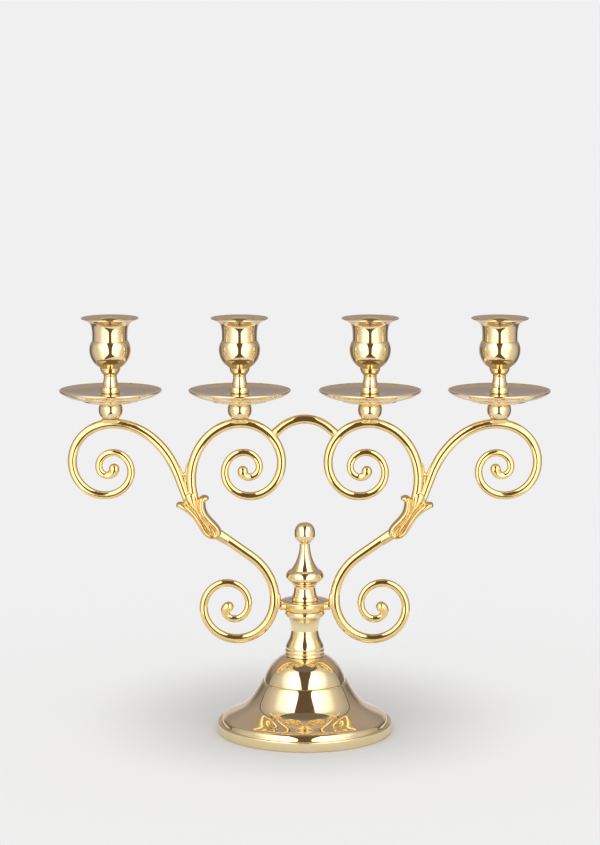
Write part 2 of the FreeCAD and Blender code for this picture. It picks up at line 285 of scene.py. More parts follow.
def spin_outline(bm, outline, axis_x=0.0):
    """Spins an outline about the vertical line at axis_x. An outline that starts and ends on the axis is
    left open there, and any other is closed."""
    points = full_outline(outline)
    verts = [bm.verts.new(((axis_x + across) * MM, 0, up * MM)) for across, up in points]
    edges = [bm.edges.new(pair) for pair in zip(verts, verts[1:])]
    if points[0][0] > 0 or points[-1][0] > 0:
        edges.append(bm.edges.new((verts[-1], verts[0])))
    bmesh.ops.spin(bm, geom=verts + edges, cent=(axis_x * MM, 0, 0), axis=(0, 0, 1), angle=2 * math.pi,
                   steps=SPIN_STEPS, use_merge=True, use_duplicate=False)
    bmesh.ops.remove_doubles(bm, verts=bm.verts, dist=MERGE)


def break_corners(bm, width):
    """Bevels every crisp corner that runs round the axis."""
    corners = [e for e in bm.edges
               if e.is_manifold and e.calc_face_angle(0) > math.radians(CORNER_ANGLE)
               and abs(e.verts[0].co.z - e.verts[1].co.z) < 1e-6]
    bmesh.ops.bevel(bm, geom=corners, offset=width * MM, offset_type="OFFSET", segments=3, profile=0.5,
                    affect="EDGES", clamp_overlap=True, material=-1)


def turned(name, outline, body, replaced, axis_x=0.0, width=EDGE_BREAK):
    """A piece of turned brass that rides on a body and stands for one node of the CAD model."""
    bm = bmesh.new()
    spin_outline(bm, outline, axis_x)
    bmesh.ops.recalc_face_normals(bm, faces=bm.faces)
    break_corners(bm, width)
    piece = finish_mesh(bm, name, brass_turned)
    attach(piece, body)
    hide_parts(replaced)
    print(name, len(piece.data.polygons), "faces")
    return piece


# %% [markdown]
# ## The foot
#
# The foot is two shells. The skirt flares from a narrow neck to a wide rim, which stands on the table and
# has a small ledge on top. The dome drops into the skirt's neck, and their joint shows as a fine seam
# half way up. Their walls are thin, so both outlines go up outside and come back down inside.

# %% Skirt and dome
RIM_INSIDE = 57.2      # radius of the groove between rim and skirt
RIM_TOP = 7.1          # just above the flat top of the rim

base_skirt = turned("foot_skirt", [
    (RIM_INSIDE, 0), (59.2, 0), (59.7, 0.6), (59.7, 6.0), [(59.65, 6.6), (59.3, 6.95), (58.7, 7.0)],
    (57.6, 7.0), (RIM_INSIDE, 6.4), (56.9, 7.6),
    [(56.6, 9.3), (55.1, 10.8), (52.2, 12.2), (49.0, 13.6), (45.6, 15.4), (42.4, 17.4), (39.9, 19.5),
     (37.9, 21.6), (35.9, 24.2), (33.8, 27.2), (31.9, 30.2), (30.3, 33.0), (29.3, 34.6)],
    (28.8, 35.0), (27.4, 35.0), (27.4, 30.9), (29.0, 30.4),
    [(30.1, 29.4), (32.0, 26.4), (34.2, 23.2), (36.4, 20.4), (38.4, 18.3), (41.0, 16.1), (44.4, 13.8),
     (47.8, 12.0), (50.8, 10.6), (53.6, 9.2), (55.6, 7.2), (57.2, 4.6)],
], "root", "base_skirt")

# the rim keeps the fine cut of the lathe tool, duller than the polished skirt
brass_rim = turned_brass("turned_rim_brass", haze_low=0.2, haze_high=0.26)
base_skirt.data.materials.append(brass_rim)
for face in base_skirt.data.polygons:
    if math.hypot(face.center.x, face.center.y) > RIM_INSIDE * MM and face.center.z < RIM_TOP * MM:
        face.material_index = 1

turned("foot_dome", [
    (3.0, 52.4), (13.0, 52.4),
    [(14.2, 52.3), (15.9, 51.7), (18.0, 50.4), (20.2, 48.6), (22.4, 46.4), (24.3, 43.9), (26.0, 40.9),
     (27.3, 37.9), (28.1, 35.05)],
    (27.2, 35.05), (27.2, 31.4), (25.5, 31.4), (25.5, 36.5),
    [(24.5, 39.5), (22.8, 42.7), (20.8, 45.2), (18.8, 47.2), (16.8, 48.8), (14.6, 50.0), (12.6, 50.6)],
    (3.0, 50.6),
], "root", "base_dome", width=SEAM_BREAK)

# %% [markdown]
# ## Stem, cap disc and finial
#
# The stem is a short waisted column with a reeded collar at its foot. Above the crossbar a thin disc
# carries the finial: a ball on a slender neck, growing from a bulb. The tie rod runs up inside all three,
# so each one has its bore.

# %% Stem, disc and finial
turned("stem_column", [
    (3.0, 52.4), (12.5, 52.4), [(13.1, 52.5), (13.6, 53.1), (13.55, 53.9), (13.1, 54.6)], (12.75, 54.8),
    [(13.2, 55.0), (13.5, 55.7), (13.4, 56.7), (13.0, 57.2)], (12.6, 57.4),
    [(12.95, 57.6), (13.1, 58.6), (12.7, 60.2), (11.4, 62.5), (10.2, 65.0), (9.5, 67.9), (9.25, 70.5),
     (9.45, 73.0), (9.9, 75.2), (10.5, 77.3), (11.3, 79.0), (12.2, 79.8)], (12.4, 80.0),
    [(13.1, 80.3), (13.5, 81.2), (13.5, 82.6), (13.2, 83.7), (12.6, 84.0)], (3.0, 84.0),
], "root", "stem_column")

turned("cap_disc", [
    (3.0, 89.6), (16.1, 89.6), [(16.5, 89.7), (16.7, 90.1), (16.6, 90.6), (16.1, 91.0)], (3.0, 91.0),
], "root", "cap_disc")

turned("finial", [
    (3.0, 91.0), (8.9, 91.0), [(9.3, 91.2), (9.5, 92.0), (9.2, 93.2), (8.6, 93.9)], (8.4, 94.1),
    [(7.9, 95.0), (7.4, 97.2), (7.2, 99.4), (7.5, 101.2)], (8.0, 101.9), [(8.5, 102.1), (8.7, 102.8)],
    (8.6, 103.0),
    [(9.6, 103.6), (11.7, 105.0), (12.9, 106.8), (12.9, 108.9), (12.1, 110.8), (10.9, 111.8)],
    (9.4, 112.3), (9.1, 112.9),
    [(8.3, 114.0), (7.0, 116.0), (5.8, 118.4), (4.9, 120.8), (4.2, 123.4), (3.7, 126.2), (3.4, 128.8),
     (3.55, 130.4)],
    (3.9, 131.0),
    [(5.2, 132.0), (6.6, 133.8), (7.15, 136.4), (7.1, 139.4), (6.0, 142.4), (3.9, 144.4), (1.6, 144.8),
     (0.0, 144.8)],
    (0.0, 112.0), (3.0, 112.0),
], "root", "finial")

# %% [markdown]
# ## The four lights
#
# Each light stacks a ball knob, a drip pan and a candle cup on one stud. The pan is a heavy turned plate
# with a rolled lip and a step underneath. The cup has a bell mouth over a straight socket, a bulb, and
# a beaded stem. A loop over the four lights makes them all from the same three outlines, and each part
# rides on its own body: the pan turns, the cup lifts, and the ball stays.

# %% Lights
BALL = [
    (2.0, 216.6), (5.4, 216.6),
    [(6.6, 217.5), (7.9, 219.4), (8.3, 222.4), (7.9, 225.4), (6.8, 227.3), (5.6, 228.2)], (2.0, 228.2),
]
PAN = [
    (2.0, 228.2), (18.2, 228.2), [(19.0, 228.3), (19.5, 228.8), (19.7, 229.4)], (20.3, 229.55),
    [(23.0, 229.9), (27.0, 231.0), (30.2, 232.1), (32.4, 233.3), (33.9, 234.5)],
    [(34.4, 234.8), (34.65, 235.3), (34.6, 235.9), (34.2, 236.2), (33.7, 236.1), (33.35, 235.7)],
    [(33.0, 235.4), (31.4, 234.8), (29.0, 234.35), (25.0, 234.1), (20.0, 233.95)],
    (12.0, 233.9), (2.0, 233.9),
]
CUP = [
    (2.0, 233.9), (6.2, 233.9), [(6.6, 234.2), (6.75, 235.4), (6.5, 236.8), (5.8, 238.1)], (5.05, 238.5),
    [(5.2, 239.4), (5.0, 241.2), (4.45, 243.2), (4.3, 245.0), (4.55, 246.4)], (4.9, 246.6),
    [(5.5, 247.1), (6.3, 248.4), (6.8, 249.8), (6.95, 251.0)], (7.4, 251.4),
    [(8.4, 252.1), (10.4, 253.6), (12.1, 255.9), (13.4, 258.9), (14.05, 262.0), (14.0, 265.0),
     (13.3, 267.6), (12.2, 269.3)],
    (11.95, 269.5),
    [(11.85, 272.5), (11.95, 275.5), (12.3, 278.3), (13.1, 280.6), (14.6, 282.2), (16.6, 283.2),
     (18.4, 283.8), (19.2, 284.2)],
    [(19.55, 284.45), (19.45, 284.9), (18.9, 285.0)],
    [(17.4, 284.7), (15.4, 284.0), (13.5, 282.8), (12.1, 281.1), (11.2, 279.0), (10.9, 277.0)],
    (10.9, 260.5), (9.9, 259.5), (0.0, 259.5), (0.0, 253.0), (2.0, 253.0),
]
LIGHTS = {"outer_left": -131.2, "inner_left": -44.0, "inner_right": 44.0, "outer_right": 131.2}

for place, light_x in LIGHTS.items():
    turned("ball_" + place, BALL, "root", "ball_knob_" + place, light_x, FINE_BREAK)
    turned("pan_" + place, PAN, "pan_" + place, "drip_pan_" + place, light_x, FINE_BREAK)
    turned("cup_" + place, CUP, "cup_" + place, "candle_cup_" + place, light_x, THIN_BREAK)

# %% [markdown]
# ## How a scroll rod is made
#
# A scroll is a round rod that bends ever tighter towards its eye. It could be drawn as a curve by hand,
# but a smith's rule gives a truer one: walk along the rod in short steps, and shrink the bend radius by an
# even ratio with every step. Two named radii belong to each 100 degrees of turning, and the radius slides
# from one to the other in between.

# %% Scroll path
BEND_STEP = 100.0      # degrees of turning between two named bend radii
ARC_TURN = BEND_STEP / 3
STATIONS_PER_ARC = 8
ROOT_SHARES = (1, 0.75, 0.5, 0.25, 0)   # stations on the straight root, as shares of its length


def heading_vector(degrees):
    return Vector((math.cos(math.radians(degrees)), 0, math.sin(math.radians(degrees))))


def scroll_path(start, heading, sense, bends, root, arcs):
    """Stations (point, heading in degrees, length walked) from the root to the eye, in mm."""
    here = Vector((start[0], 0, start[1]))
    ahead = heading_vector(heading)
    stations = [(here - ahead * root * share, heading, root * (1 - share)) for share in ROOT_SHARES]
    walked = root
    turn = ARC_TURN / STATIONS_PER_ARC
    for number in range(arcs * STATIONS_PER_ARC):
        along = (number + 0.5) * turn / BEND_STEP
        index = min(int(along), len(bends) - 2)
        bend = bends[index] ** (1 - along + index) * bends[index + 1] ** (along - index)
        centre = here + heading_vector(heading + 90) * sense * bend
        heading += sense * turn
        here = centre - heading_vector(heading + 90) * sense * bend
        walked += bend * math.radians(turn)
        stations.append((here, heading, walked))
    return stations


# %% [markdown]
# ## Sweeping a circle
#
# Curves with a bevel would make rods too, but an extruded ring can change its width and depth at every
# station, which the leaves of the calyx need later. Each ring is the last one, extruded and carried to the
# next station by one matrix. Both ends are merged to a point, so the rod is closed. Rods dressed with a
# file are never quite round, so the ring is a circle pushed a little towards a square.

# %% Sweep helper
ROD_SIDES = 48
FILED = 2.4            # 2 is a circle, higher is squarer


def station_matrix(point, heading, wide, deep):
    """Places a unit circle across the path: wide lies in the scroll's plane, deep along world Y."""
    side = heading_vector(heading - 90)
    ahead = heading_vector(heading)
    turn = Matrix((side, (0, 1, 0), ahead)).transposed().to_4x4()
    return Matrix.Translation(point * MM) @ turn @ Matrix.Diagonal((wide * MM, deep * MM, MM, 1))


def sweep(bm, stations, sides=ROD_SIDES):
    """Extrudes a ring through stations (point, heading, wide, deep), in mm, and closes both ends."""
    place = station_matrix(*stations[0])
    ring = bmesh.ops.create_circle(bm, cap_ends=False, segments=sides, radius=1.0)["verts"]
    for vert in ring:
        vert.co.x = math.copysign(abs(vert.co.x) ** (2 / FILED), vert.co.x)
        vert.co.y = math.copysign(abs(vert.co.y) ** (2 / FILED), vert.co.y)
    bmesh.ops.transform(bm, matrix=place, verts=ring)
    edges = list({edge for vert in ring for edge in vert.link_edges})
    first = ring
    for station in stations[1:]:
        grown = bmesh.ops.extrude_edge_only(bm, edges=edges)["geom"]
        ring = [g for g in grown if isinstance(g, bmesh.types.BMVert)]
        edges = [g for g in grown if isinstance(g, bmesh.types.BMEdge)
                 and g.verts[0] in ring and g.verts[1] in ring]
        following = station_matrix(*station)
        bmesh.ops.transform(bm, matrix=following @ place.inverted(), verts=ring)
        place = following
    for end, station in ((first, stations[0]), (ring, stations[-1])):
        bmesh.ops.pointmerge(bm, verts=end, merge_co=station[0] * MM)


TIP_ANGLES = [math.radians(angle) for angle in (15, 30, 45, 58, 70, 80, 86)]


def rounded(point, heading, wide, deep, reach, way=1):
    """Stations that close an end as a rounded tip; way is 1 for the far end and -1 for the root."""
    ahead = heading_vector(heading) * way * reach
    return [(point + ahead * math.sin(angle), heading, wide * math.cos(angle), deep * math.cos(angle))
            for angle in TIP_ANGLES]


# %% [markdown]
# ## The six scrolls
#
# Each arm has three scrolls: the lower one beside the stem, and an outer and an inner one that carry the
# lights. The rod is drawn down from 6.6 mm to 4.8 mm on its way, and its end is upset into a drop-shaped
# bulb that fills the eye. Under each light a small seat flows out of the rod: round where the ball
# stands, and drawn out along the rod below. The right-hand scrolls are drawn, and a mirror makes the rest.

# %% Scroll shapes
# start (x, z), heading, sense of turning, bend radii, length of the root, and number of arcs
SCROLLS = {
    "outer_scroll": ((85.9, 177.2), 71.0, -1, (65.3, 26.7, 23.4, 16.9, 11.8, 8.9, 4.9, 4.5), 20.0, 21),
    "inner_scroll": ((76.0, 164.7), 77.6, 1, (48.5, 28.6, 25.7, 17.7, 14.2, 10.5, 6.9, 4.1), 8.0, 22),
    "lower_scroll": ((36.6, 121.4), 215.4, 1, (41.8, 25.7, 22.1, 15.3, 14.1, 8.1, 4.0), 26.0, 20),
}
ROD_THICK = 3.3        # radius at the start of the rod
ROD_THIN = 2.4         # radius before the eye
TAPER_FROM = 0.35      # the rod narrows between these two shares of its length
TAPER_TO = 0.88
ROD_ROOT = 2.5         # radius where the outer scroll dives into the calyx
ROOT_LONG = 30.0       # length over which it thickens again
ROD_DEPTH = 0.9        # the rod is a little shallower than it is wide
BULB = 3.55            # radius of the drop in the eye
BULB_LONG = 9.0        # length over which the rod swells into it


def rod_radius(walked, whole):
    """Radius after walking along the rod: thick, then tapering, then swelling into the bulb."""
    taper = min(1.0, max(0.0, (walked / whole - TAPER_FROM) / (TAPER_TO - TAPER_FROM)))
    swell = min(1.0, max(0.0, 1 - (whole - walked) / BULB_LONG))
    swell = swell * swell * (3 - 2 * swell)
    return ROD_THICK + (ROD_THIN - ROD_THICK) * taper + (BULB - ROD_THIN) * swell


def scroll_rod(bm, shape, root_radius):
    """The whole rod, rounded at its root and at its bulb."""
    path = scroll_path(*shape)
    whole = path[-1][2]
    stations = []
    for point, heading, walked in path:
        dive = max(0.0, 1 - walked / ROOT_LONG)
        radius = rod_radius(walked, whole) + (root_radius - ROD_THICK) * dive
        depth = ROD_DEPTH + (1 - ROD_DEPTH) * max(0.0, 1 - (whole - walked) / BULB_LONG)
        stations.append((point, heading, radius, radius * depth))
    root = rounded(*stations[0], stations[0][2], way=-1)
    sweep(bm, root[::-1] + stations + rounded(*stations[-1], BULB))


SEAT_LEVELS = [   # half width, half depth and height of the seat under a ball, from the top down
    (5.5, 5.5, 216.6), (5.6, 5.3, 216.3), (5.9, 4.9, 215.8), (6.6, 4.3, 215.1), (7.8, 3.7, 214.3),
    (9.4, 3.1, 213.3), (9.6, 2.7, 212.4),
]


def ball_seat(bm, x):
    """Saddle between ball and rod: a ring at the top that spreads along the rod as it goes down."""
    sweep(bm, [(Vector((x, 0, up)), -90, wide, deep) for wide, deep, up in SEAT_LEVELS])


def mirror_object(piece, name):
    """A copy on the other side of the stem, with its mirrored faces turned outwards again."""
    bm = bmesh.new()
    bm.from_mesh(piece.data)
    bmesh.ops.scale(bm, vec=(-1, 1, 1), verts=bm.verts)
    return finish_mesh(bm, name, piece.data.materials[0])


def brazed(piece, node):
    """Makes a cast piece ride on the frame of the candelabra and stand for one node of the CAD model."""
    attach(piece, "root")
    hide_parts(node)
    print(piece.name, len(piece.data.polygons), "faces")


for name, shape in SCROLLS.items():
    bm = bmesh.new()
    scroll_rod(bm, shape, ROD_ROOT if name == "outer_scroll" else ROD_THICK)
    if name != "lower_scroll":
        ball_seat(bm, LIGHTS[name.split("_")[0] + "_right"])
    right = finish_mesh(bm, name + "_rod_right", brass_cast, sharp_angle=50)
    left = mirror_object(right, name + "_rod_left")
    brazed(right, name + "_right")
    brazed(left, name + "_left")

# %% [markdown]
# ## The calyx
#
# Where the two upper scrolls grow out of the arm, the founder hid the joint in a calyx: two leaf lobes
# that join in a U below, curl outwards at their tips, and hold a drop-shaped tongue between them. A lump
# of clay would be rolled and pinched into such a shape, and the same is done here. Each lobe is a sweep of
# changing width, a voxel remesh welds the sweeps into one skin, and a few rounds of smoothing soften
# the grooves as casting and buffing do.

# %% Calyx lobes
CALYX_VOXEL = 0.32     # mm, the grid of the weld
CALYX_SMOOTHING = 3    # rounds
LEAF_SIDES = 28
LEAF_TIP = 0.8         # length of a rounded tip, against its half width


def leaf(bm, points):
    """A sweep through control points (x, z, half width, half depth), in mm, smoothed as a NURBS curve."""
    path = smooth_run([(x, z) for x, z, wide, deep in points], resolution=6)
    sizes = smooth_run([(wide, deep) for x, z, wide, deep in points], resolution=6)
    stations = []
    for number, ((x, z), (wide, deep)) in enumerate(zip(path, sizes)):
        before = path[max(number - 1, 0)]
        after = path[min(number + 1, len(path) - 1)]
        heading = math.degrees(math.atan2(after[1] - before[1], after[0] - before[0]))
        stations.append((Vector((x, 0, z)), heading, wide, deep))
    start = rounded(*stations[0], stations[0][2] * LEAF_TIP, way=-1)[::-1]
    end = rounded(*stations[-1], stations[-1][2] * LEAF_TIP)
    sweep(bm, start + stations + end, LEAF_SIDES)


LOBES = [   # one band from the inner tip, round the bottom of the U, to the outer tip
    (66.4, 161.6, 1.7, 4.4), (68.4, 162.0, 2.2, 5.2), (69.8, 160.8, 2.6, 5.6), (70.3, 158.4, 2.8, 5.8),
    (70.2, 155.6, 3.0, 5.8), (69.4, 152.2, 2.9, 5.7), (67.4, 148.8, 2.7, 5.6), (64.2, 145.4, 2.5, 5.4),
    (61.0, 142.4, 2.3, 5.2), (58.9, 139.5, 2.4, 5.1), (58.9, 136.6, 2.2, 5.0), (61.2, 135.0, 1.8, 4.9),
    (64.5, 135.3, 1.7, 4.9), (67.4, 137.1, 1.7, 5.0), (69.0, 139.8, 1.8, 5.2), (70.5, 142.9, 1.9, 5.3),
    (72.3, 145.8, 1.9, 5.4), (74.9, 149.5, 1.9, 5.5), (77.9, 152.8, 2.2, 5.7), (81.2, 155.6, 2.6, 5.8),
    (84.0, 156.9, 2.5, 5.4), (85.8, 157.0, 2.0, 4.6),
]
TONGUE = [  # a drop low in the U, drawn up to a ridge, spreading into a bud under the scrolls
    (64.1, 138.9, 1.5, 4.8), (64.8, 140.4, 1.7, 5.4), (66.2, 142.7, 1.3, 5.4), (68.4, 145.3, 0.8, 5.1),
    (70.5, 148.2, 0.8, 4.9), (72.3, 151.4, 0.8, 5.0), (73.8, 154.3, 1.2, 5.0), (75.7, 157.8, 2.8, 4.9),
    (76.9, 160.6, 3.9, 4.6), (77.7, 163.0, 4.2, 3.9),
]
CORE = [    # the body behind the relief, from the arm to the scrolls
    (59.2, 137.0, 3.4, 2.8), (62.6, 139.4, 3.8, 2.9), (66.8, 143.4, 4.2, 3.0), (71.6, 149.6, 4.4, 3.1),
    (75.6, 156.4, 6.0, 3.2), (78.0, 161.6, 4.8, 3.2),
]
ARM_COLLAR = [  # the arm swelling into the U
    (52.4, 132.2, 3.2, 3.1), (55.6, 134.3, 3.4, 3.4), (58.6, 136.0, 3.6, 4.0), (61.0, 137.2, 2.6, 4.0),
]
WEB = [     # thin web in the fork between the two scrolls
    (77.8, 160.0, 4.4, 2.6), (79.4, 166.0, 3.2, 2.0), (80.6, 172.0, 2.8, 1.6), (81.7, 177.6, 2.0, 1.4),
]
PRONGS = [  # the web thinning out along each scroll, so that the fork ends in a rounded V
    [(80.2, 170.0, 1.6, 1.7), (80.6, 176.0, 1.3, 1.6), (80.4, 181.0, 0.9, 1.3), (79.9, 185.5, 0.4, 0.8)],
    [(82.2, 170.0, 1.6, 1.7), (82.7, 176.0, 1.3, 1.6), (84.1, 181.0, 0.9, 1.3), (86.1, 185.5, 0.4, 0.8)],
]

# %% [markdown]
# The sweeps overlap freely, because the remesh keeps only their common skin. Its grid is finer than the
# narrowest groove. The finished right calyx is mirrored for the left arm.

# %% Weld the calyx
bm = bmesh.new()
for band in (LOBES, TONGUE, CORE, ARM_COLLAR, WEB, *PRONGS):
    leaf(bm, band)
clay = finish_mesh(bm, "calyx_clay", brass_satin)
remesh = clay.modifiers.new("weld", "REMESH")
remesh.mode = "VOXEL"
remesh.voxel_size = CALYX_VOXEL * MM
welded = bpy.data.meshes.new_from_object(clay.evaluated_get(bpy.context.evaluated_depsgraph_get()))
bpy.data.objects.remove(clay)
bm = bmesh.new()
bm.from_mesh(welded)
for round_number in range(CALYX_SMOOTHING):
    bmesh.ops.smooth_vert(bm, verts=bm.verts, factor=0.5, use_axis_x=True, use_axis_y=True, use_axis_z=True)
calyx_right = finish_mesh(bm, "calyx_leaf_right", brass_satin, sharp_angle=180)
calyx_left = mirror_object(calyx_right, "calyx_leaf_left")
brazed(calyx_right, "calyx_right")
brazed(calyx_left, "calyx_left")

# %% [markdown]
# ## Crossbar and top arch
#
# The crossbar is a cast eye clamped between stem and disc, with a lug to each lower scroll that ends in a
# pad along the rod. The arch is a plain rod brazed between the inner scrolls, over the finial.

# %% Crossbar
LUG_HEIGHT = 86.8
LUG_SIDES = 32
LUG = [     # distance out, half depth, half height
    (10.0, 3.6, 2.9), (13.0, 3.5, 2.8), (15.0, 3.0, 2.6), (17.0, 3.0, 2.6), (18.6, 3.6, 2.8),
]
PAD_OUT = 18.7
PAD = [     # height, half width, half depth
    (84.2, 1.0, 1.6), (86.0, 2.1, 2.6), (90.6, 2.6, 3.0), (95.0, 2.0, 2.4), (97.2, 0.9, 1.4),
]

bm = bmesh.new()
spin_outline(bm, [
    (3.0, 84.0), (11.9, 84.0), [(12.4, 84.1), (12.7, 84.6)], (12.7, 89.0), [(12.6, 89.4), (12.2, 89.6)],
    (3.0, 89.6),
])
for side in (1, -1):
    along = 0 if side > 0 else 180
    sweep(bm, [(Vector((side * x, 0, LUG_HEIGHT)), along, tall, deep) for x, deep, tall in LUG], LUG_SIDES)
    sweep(bm, [(Vector((side * PAD_OUT, 0, z)), 90, wide, deep) for z, wide, deep in PAD], LUG_SIDES)
crossbar = finish_mesh(bm, "crossbar_casting", brass_cast)
brazed(crossbar, "crossbar")

# %% Top arch
ARCH_TOP = 215.9        # height of the rod's middle
ARCH_BEND = 24.5        # radius of the bend
ARCH_HALF_TURN = 40.8   # degrees either side of the top
ARCH_PARTS = 20         # stations on each half
ARCH_LEG = 9.6          # straight length from the bend to the inner scroll
ARCH_ROD = 3.1          # radius of the rod

arch_centre = Vector((0, 0, ARCH_TOP - ARCH_BEND))
arch_stations = []
for part in range(-ARCH_PARTS, ARCH_PARTS + 1):
    turn = ARCH_HALF_TURN * part / ARCH_PARTS
    arch_stations.append((arch_centre + heading_vector(90 - turn) * ARCH_BEND, -turn))
first, last = arch_stations[0], arch_stations[-1]
for share in (0.33, 0.66, 1.0):
    arch_stations.append((last[0] + heading_vector(last[1]) * ARCH_LEG * share, last[1]))
    arch_stations.insert(0, (first[0] - heading_vector(first[1]) * ARCH_LEG * share, first[1]))
bm = bmesh.new()
sweep(bm, [(point, heading, ARCH_ROD, ARCH_ROD) for point, heading in arch_stations])
brazed(finish_mesh(bm, "arch_rod", brass_cast, sharp_angle=60), "top_arch")

# %% [markdown]
# ## Lighting
#
# Polished brass has no look of its own without something to reflect. The candelabra stands inside a tall
# white tent, lit from outside by one soft lamp on each side. Each lamp makes a large glow on the cloth
# that fades towards the back. The cloth is open at the camera, and more so high up and low down, which
# draws the dark line down the middle of every turned piece. The tent is drawn as one drum whose brightness
# follows the height and the angle round the candelabra, counted from the camera.

# %% Tent
TENT_RADIUS = 1500.0
TENT_PANELS = 96
CLOTH_TOP = 3150.0
CLOTH_BOTTOM = -1500.0   # the table stands on a plinth, so the cloth hangs well below it
ROOF_HEIGHT = 3400.0
OPENING = 9.0            # degrees either side of the camera, at the table
OPENING_TOP = 34.0       # and at the top of the cloth
OPENING_BOTTOM = 42.0    # and near its bottom
OPENS_ABOVE = 200.0      # the opening widens above this height
OPENS_BELOW = -100.0     # and below this one
OPEN_LOW = -1200.0       # where it is as wide as it gets
OPENING_BLUR = 0.8       # degrees over which its edge is soft

LAMP_ANGLE = 44.0        # degrees from the camera to the middle of each glow
LAMP_HEIGHT = 1500.0
GLOW_ANGLE = 38.0        # degrees from the middle of a glow to where it has nearly gone
GLOW_HEIGHT = 1300.0
GLOW_CORE = 0.5          # share of the glow that is evenly bright
GLOW_EDGE = 1.2          # where the last of it fades, against its size
GLOW_LIGHT = 0.8         # brightness that a lamp adds in the middle of its glow

FRONT_ANGLE = 20.0       # the cloth darkens from here
SIDE_ANGLE = 75.0        # to here
SEAM_ANGLE = 119.0       # and on to the seam, where it's sewn to the grey back cloth
FRONT_LIGHT = 1.9
SIDE_LIGHT = 0.74
SEAM_LIGHT = 0.44
SEAM_FOLD = 1.0          # degrees from the seam to the edge of its dark fold
SEAM_SHADE = 0.04        # what is left of the light in the fold
TOP_SHADE = 0.15         # and in the hem along the roof
TOP_HEM = 150.0

BACK_LOW = 0.9           # brightness of the back cloth up to DUSK_LOW
BACK_HIGH = 1.15         # and from DUSK_HIGH
DUSK_LOW = 400.0
DUSK_HIGH = 1000.0
SPILL_LIGHT = 0.9        # light that the paper throws on the back cloth, straight behind
SPILL_CORNER = -0.4      # and the shade it has beside the seam instead
SPILL_CORNER_ANGLE = 140.0
SPILL_ANGLE = 162.0
SPILL_LOW = 250.0        # the spill fades between these heights
SPILL_HIGH = 480.0

ROOF_FRONT = 0.9         # brightness of the roof up to ROOF_DIM
ROOF_BACK = 2.8          # and from ROOF_BRIGHT
ROOF_DIM = -300.0
ROOF_BRIGHT = 900.0

WHITE_CLOTH = (1.0, 0.96, 0.93)
GREY_CLOTH = (0.36, 0.32, 0.33)
DARK_ROOM = (0.13, 0.095, 0.068)
ROOF_CLOTH = (0.21, 0.18, 0.17)


def maths(tree, operation, *values):
    """One arithmetic node; each value is a number or the output of another node."""
    node = tree.nodes.new("ShaderNodeMath")
    node.operation = operation
    for socket, value in zip(node.inputs, values):
        if isinstance(value, bpy.types.NodeSocket):
            tree.links.new(value, socket)
        else:
            socket.default_value = value
    return node.outputs["Value"]


def step(tree, value, low, high, before, after):
    """Smooth change from one brightness to another while the value goes from low to high."""
    node = add_node(tree, "ShaderNodeMapRange", {"Value": value, "From Min": low, "From Max": high,
                                                 "To Min": before, "To Max": after},
                    interpolation_type="SMOOTHSTEP")
    return node.outputs["Result"]


def mixed(tree, share, first, second):
    """A colour between two others, each a node output or a plain colour."""
    node = add_node(tree, "ShaderNodeMix", {"Factor": share}, data_type="VECTOR")
    for name, colour in (("A", first), ("B", second)):
        if isinstance(colour, bpy.types.NodeSocket):
            tree.links.new(colour, node.inputs[name])
        else:
            node.inputs[name].default_value = colour
    return node.outputs["Result"]


def scaled(tree, colour, brightness):
    node = add_node(tree, "ShaderNodeVectorMath", {0: colour, "Scale": brightness}, operation="SCALE")
    return node.outputs["Vector"]


def white_cloth(tree, angle, height):
    """Brightest beside the camera, with a round glow over the lamp and a dark fold at the seam."""
    across = maths(tree, "DIVIDE", maths(tree, "SUBTRACT", angle, LAMP_ANGLE), GLOW_ANGLE)
    upward = maths(tree, "DIVIDE", maths(tree, "SUBTRACT", height, LAMP_HEIGHT), GLOW_HEIGHT)
    away = maths(tree, "SQRT", maths(tree, "ADD", maths(tree, "MULTIPLY", across, across),
                                     maths(tree, "MULTIPLY", upward, upward)))
    glow = step(tree, away, GLOW_CORE, GLOW_EDGE, GLOW_LIGHT, 0.0)
    front = step(tree, angle, FRONT_ANGLE, SIDE_ANGLE, FRONT_LIGHT, SIDE_LIGHT)
    side = step(tree, angle, SIDE_ANGLE, SEAM_ANGLE, 0.0, SEAM_LIGHT - SIDE_LIGHT)
    hem = step(tree, height, CLOTH_TOP - TOP_HEM, CLOTH_TOP, 1.0, TOP_SHADE)
    from_seam = maths(tree, "ABSOLUTE", maths(tree, "SUBTRACT", angle, SEAM_ANGLE))
    fold = step(tree, from_seam, SEAM_FOLD, 2 * SEAM_FOLD, SEAM_SHADE, 1.0)
    brightness = maths(tree, "ADD", maths(tree, "ADD", front, side), glow)
    return scaled(tree, WHITE_CLOTH, maths(tree, "MULTIPLY", brightness, maths(tree, "MULTIPLY", hem, fold)))


def grey_cloth(tree, angle, height):
    """The back cloth, lit a little by the paper low down and by the roof further up."""
    spill = step(tree, angle, SPILL_CORNER_ANGLE, SPILL_ANGLE, SPILL_CORNER, SPILL_LIGHT)
    low = maths(tree, "MULTIPLY", step(tree, height, SPILL_LOW, SPILL_HIGH, 1.0, 0.0), spill)
    dusk = step(tree, height, DUSK_LOW, DUSK_HIGH, BACK_LOW, BACK_HIGH)
    return scaled(tree, GREY_CLOTH, maths(tree, "ADD", low, dusk))


